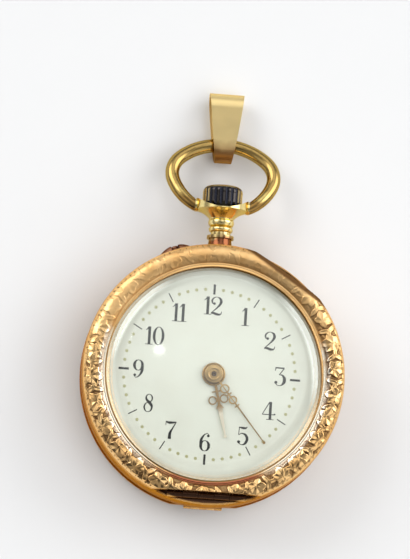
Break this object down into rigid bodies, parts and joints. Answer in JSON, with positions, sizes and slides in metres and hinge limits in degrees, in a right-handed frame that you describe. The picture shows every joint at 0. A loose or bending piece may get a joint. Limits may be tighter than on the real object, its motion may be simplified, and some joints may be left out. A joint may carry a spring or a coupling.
{
  "type": "pendant watch",
  "caption": "Small open-face pendant watch with crown winder, push piece, hinged bezel and back, bow and bail, and its full going train",
  "frame": {"origin": "centre of the flat middle of the back cover, on which the watch lies, under the axis of the hands", "axes": "+Z out of the dial, towards the viewer; +Y to 12 o'clock, the pendant and the bow; +X to 3 o'clock"},
  "size_m": [0.03, 0.0485, 0.009],
  "materials": {
    "case_gold": "polished rose-yellow gold, engraved on the front ring",
    "pendant_gold": "polished yellow gold",
    "crystal_glass": "clear domed watch glass",
    "dial_enamel": "fired enamel, very pale and glossy, black print",
    "hand_gold": "polished gold",
    "plate_nickel": "frosted silver-coloured plating on brass",
    "wheel_brass": "gilt brass",
    "steel": "ground and polished steel",
    "spring_steel": "blued spring steel",
    "ruby": "polished red jewel"
  },
  "bodies": {
    "case": {"case_middle": "case_gold", "pendant_neck": "pendant_gold", "bow_screws": "pendant_gold", "bezel_hinge_pin": "case_gold", "back_hinge_pin": "case_gold", "cuvette_hinge_pin": "case_gold", "setting_guards": "case_gold", "main_plate": "plate_nickel", "barrel_bridge": "plate_nickel", "centre_cock": "plate_nickel", "third_cock": "plate_nickel", "fourth_cock": "plate_nickel", "escape_cock": "plate_nickel", "balance_cock": "plate_nickel", "hairspring_stud": "steel", "jewels": "ruby", "movement_screws": "steel", "case_screws": "steel", "crown_wheel_screw": "steel", "click_spring": "steel", "dial": "dial_enamel"},
    "bezel": {"bezel": "case_gold", "crystal": "crystal_glass"},
    "back": {"back_cover": "case_gold"},
    "inner_cover": {"cuvette": "case_gold"},
    "bow": {"bow": "pendant_gold"},
    "bail": {"bail": "pendant_gold"},
    "crown": {"crown": "pendant_gold", "winding_stem": "steel", "winding_pinion": "steel"},
    "clutch": {"sliding_clutch": "steel"},
    "crown_wheel": {"crown_wheel": "steel"},
    "ratchet": {"ratchet_wheel": "steel", "barrel_arbor": "steel", "ratchet_screw": "steel"},
    "set_pin": {"set_pin": "case_gold"},
    "lever": {"setting_lever": "steel"},
    "click": {"click": "steel"},
    "barrel": {"barrel": "wheel_brass", "barrel_cover": "wheel_brass", "mainspring": "spring_steel"},
    "centre": {"centre_wheel": "wheel_brass", "centre_arbor": "steel"},
    "third": {"third_wheel": "wheel_brass", "third_arbor": "steel"},
    "fourth": {"fourth_wheel": "wheel_brass", "fourth_arbor": "steel"},
    "escape": {"escape_wheel": "steel", "escape_arbor": "steel"},
    "minute": {"cannon_pinion": "steel", "minute_hand": "hand_gold"},
    "minute_wheel": {"minute_wheel": "wheel_brass"},
    "hour": {"hour_wheel": "wheel_brass", "hour_hand": "hand_gold"},
    "setting_wheel": {"setting_wheel": "wheel_brass"},
    "balance": {"balance_wheel": "wheel_brass", "balance_staff": "steel", "hairspring": "spring_steel"},
    "regulator": {"regulator": "steel"}
  },
  "joints": [
    {"name": "bezel_open", "type": "hinge", "parent": "case", "child": "bezel", "pos_m": [0, -0.01385, 0.0068], "axis": [1, 0, 0], "range_deg": [0, 100]},
    {"name": "back_cover_open", "type": "hinge", "parent": "case", "child": "back", "pos_m": [0, -0.0145, 0.0024], "axis": [-1, 0, 0], "range_deg": [0, 95]},
    {"name": "inner_cover_open", "type": "hinge", "parent": "case", "child": "inner_cover", "pos_m": [0, -0.01315, 0.00225], "axis": [-1, 0, 0], "range_deg": [0, 80.75]},
    {"name": "bow_swing", "type": "hinge", "parent": "case", "child": "bow", "pos_m": [0, 0.01986, 0.0046], "axis": [1, 0, 0], "range_deg": [-68.06, 111.94]},
    {"name": "bail_swing", "type": "hinge", "parent": "bow", "child": "bail", "pos_m": [0, 0.02761, 0.00148], "axis": [1, 0, 0], "range_deg": [-111.94, 68.06]},
    {"name": "crown_turn", "type": "hinge", "parent": "case", "child": "crown", "pos_m": [0, 0.00907, 0.0046], "axis": [0, 1, 0], "continuous": true},
    {"name": "crown_wheel_turn", "type": "hinge", "parent": "case", "child": "crown_wheel", "pos_m": [0, 0.00667, 0.003], "axis": [0, 0, 1], "continuous": true},
    {"name": "ratchet_turn", "type": "hinge", "parent": "case", "child": "ratchet", "pos_m": [-0.00483, 0.00279, 0.003], "axis": [0, 0, 1], "continuous": true},
    {"name": "set_pin_push", "type": "slide", "parent": "case", "child": "set_pin", "axis": [0.3322, -0.9432, 0], "range_m": [0, 0.00035], "stiffness_N_per_m": 60, "springref_m": -0.0001},
    {"name": "setting_lever_turn", "type": "hinge", "parent": "case", "child": "lever", "pos_m": [-0.00659, 0.00891, 0.0051], "axis": [0, 0, -1], "range_deg": [0, 6.13]},
    {"name": "clutch_slide", "type": "slide", "parent": "crown", "child": "clutch", "axis": [0, -1, 0], "range_m": [0, 0.00063]},
    {"name": "click_turn", "type": "hinge", "parent": "case", "child": "click", "pos_m": [-0.0064, -0.00203, 0.003], "axis": [0, 0, 1], "range_deg": [0, 8], "stiffness_Nm_per_rad": 0.00001, "springref_deg": -2.86, "deforming": ["click_spring"]},
    {"name": "fourth_turn", "type": "hinge", "parent": "case", "child": "fourth", "pos_m": [0.00532, -0.00361, 0.005], "axis": [0, 0, 1], "continuous": true},
    {"name": "third_turn", "type": "hinge", "parent": "case", "child": "third", "pos_m": [0.00432, -0.00018, 0.005], "axis": [0, 0, 1], "continuous": true},
    {"name": "centre_turn", "type": "hinge", "parent": "case", "child": "centre", "pos_m": [0, 0, 0.005], "axis": [0, 0, 1], "continuous": true},
    {"name": "barrel_turn", "type": "hinge", "parent": "case", "child": "barrel", "pos_m": [-0.00483, 0.00279, 0.005], "axis": [0, 0, 1], "continuous": true},
    {"name": "escape_turn", "type": "hinge", "parent": "case", "child": "escape", "pos_m": [0.00262, -0.0055, 0.005], "axis": [0, 0, 1], "continuous": true},
    {"name": "minute_hand_turn", "type": "hinge", "parent": "case", "child": "minute", "pos_m": [0, 0, 0.007], "axis": [0, 0, 1], "continuous": true},
    {"name": "minute_wheel_turn", "type": "hinge", "parent": "case", "child": "minute_wheel", "pos_m": [0, 0.00288, 0.0062], "axis": [0, 0, 1], "continuous": true},
    {"name": "hour_hand_turn", "type": "hinge", "parent": "case", "child": "hour", "pos_m": [0, 0, 0.007], "axis": [0, 0, 1], "continuous": true},
    {"name": "setting_wheel_turn", "type": "hinge", "parent": "case", "child": "setting_wheel", "pos_m": [0, 0.00624, 0.0062], "axis": [0, 0, 1], "continuous": true},
    {"name": "balance_swing", "type": "hinge", "parent": "case", "child": "balance", "pos_m": [0.0013, -0.00739, 0.005], "axis": [0, 0, 1], "range_deg": [-120, 120], "deforming": ["hairspring"]},
    {"name": "regulator_turn", "type": "hinge", "parent": "case", "child": "regulator", "pos_m": [0.0013, -0.00739, 0.00275], "axis": [0, 0, 1], "range_deg": [-20, 20]}
  ],
  "couplings": [
    {"joint": "inner_cover_open", "follows": "back_cover_open", "ratio": 0.85},
    {"joint": "crown_wheel_turn", "follows": "crown_turn", "ratio": 0.58333},
    {"joint": "ratchet_turn", "follows": "crown_turn", "ratio": -0.36842},
    {"joint": "setting_lever_turn", "follows": "set_pin_push", "rad_per_m": 305.81},
    {"joint": "clutch_slide", "follows": "set_pin_push", "ratio": 1.8},
    {"joint": "third_turn", "follows": "fourth_turn", "ratio": -0.13333},
    {"joint": "centre_turn", "follows": "fourth_turn", "ratio": 0.016667},
    {"joint": "barrel_turn", "follows": "fourth_turn", "ratio": -0.0020833},
    {"joint": "escape_turn", "follows": "fourth_turn", "ratio": -10},
    {"joint": "minute_wheel_turn", "follows": "minute_hand_turn", "ratio": -0.33333},
    {"joint": "hour_hand_turn", "follows": "minute_hand_turn", "ratio": 0.083333},
    {"joint": "setting_wheel_turn", "follows": "minute_hand_turn", "ratio": 0.6}
  ]
}
